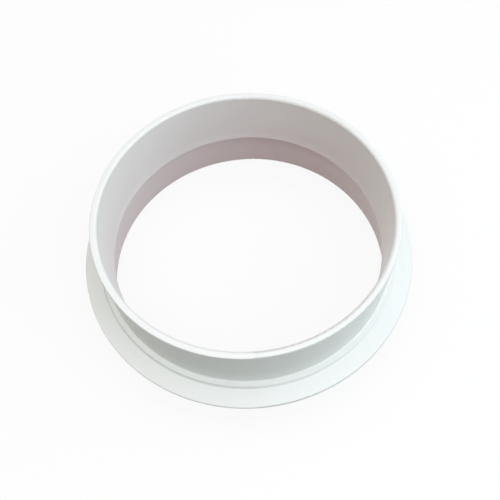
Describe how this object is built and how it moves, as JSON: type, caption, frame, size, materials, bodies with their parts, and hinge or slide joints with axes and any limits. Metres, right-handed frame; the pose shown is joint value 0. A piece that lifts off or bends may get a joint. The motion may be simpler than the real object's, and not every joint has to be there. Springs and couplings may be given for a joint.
{
  "type": "duct reducer",
  "caption": "Round flanged plastic ring that steps a ventilation duct from 125 mm down to 120 mm, with a spigot on each side, a flange between them and a shoulder inside.",
  "frame": {"origin": "centre of the lower end, on the plane the ring stands on", "axes": "+Z along the duct axis, from the wider lower spigot up to the narrower upper spigot; X and Y lie across the duct"},
  "size_m": [0.1388, 0.1388, 0.0477],
  "materials": {
    "white_plastic": "semi-gloss moulded white plastic"
  },
  "bodies": {
    "root": {"reducer_ring": "white_plastic"}
  },
  "joints": []
}
